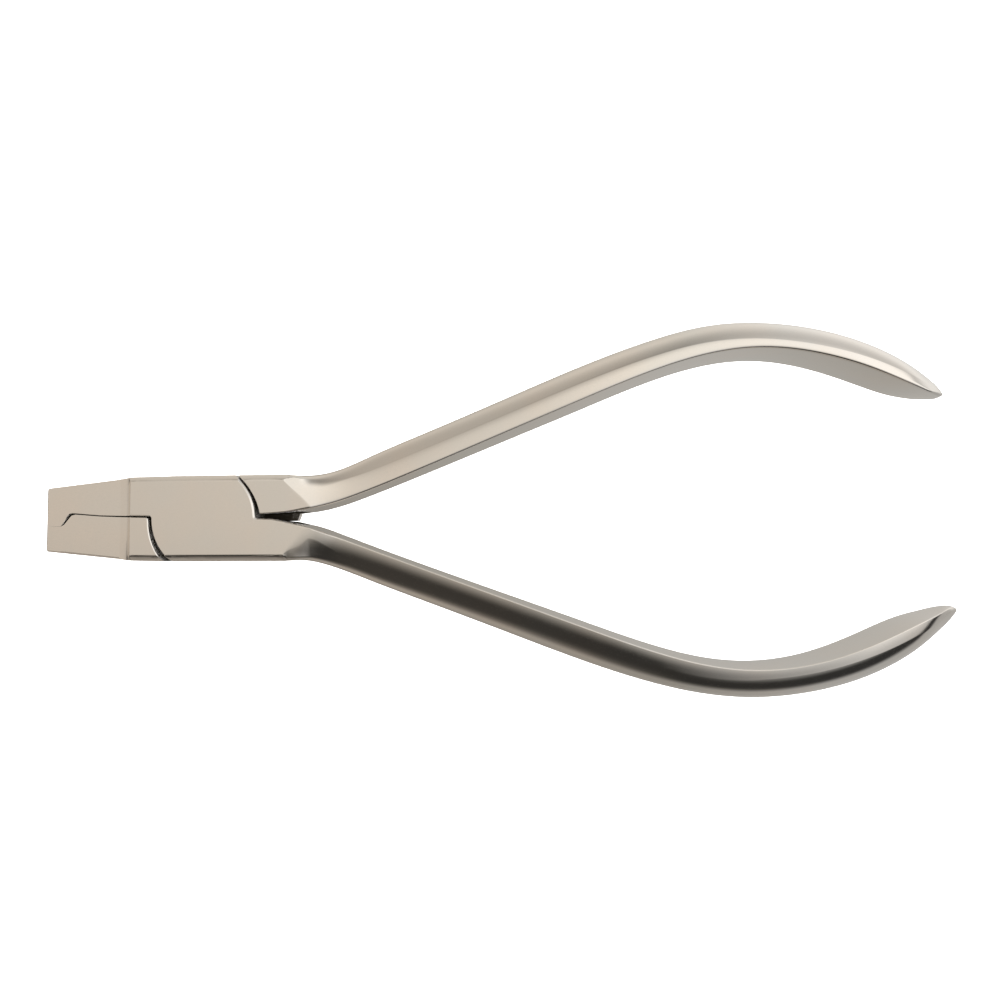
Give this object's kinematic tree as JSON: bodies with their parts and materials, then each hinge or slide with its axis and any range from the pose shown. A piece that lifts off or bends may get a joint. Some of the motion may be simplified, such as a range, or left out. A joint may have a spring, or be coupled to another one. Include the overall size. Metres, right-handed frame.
{
  "type": "crimping pliers",
  "caption": "Hand pliers with a flat circular lap joint, short square jaws that close on a small crimping step, and long bowed one-piece steel handles.",
  "frame": {"origin": "on the pivot axis, in the plane of the joint's rear flat face", "axes": "+X along the tool towards the handles, jaws towards -X; +Y towards the handle of rear_half; +Z out of the joint's front flat face, along the pivot axis"},
  "size_m": [0.1399, 0.0564, 0.0108],
  "materials": {
    "front_half_steel": "satin",
    "rear_half_steel": "satin",
    "screw_steel": "satin, turned"
  },
  "bodies": {
    "front_body": {"front_half": "front_half_steel", "pivot_screw": "screw_steel"},
    "rear_body": {"rear_half": "rear_half_steel"}
  },
  "joints": [
    {"name": "jaw_pivot", "type": "hinge", "parent": "front_body", "child": "rear_body", "pos_m": [0, 0, 0.0045], "axis": [0, 0, 1], "range_deg": [0, 50]}
  ]
}
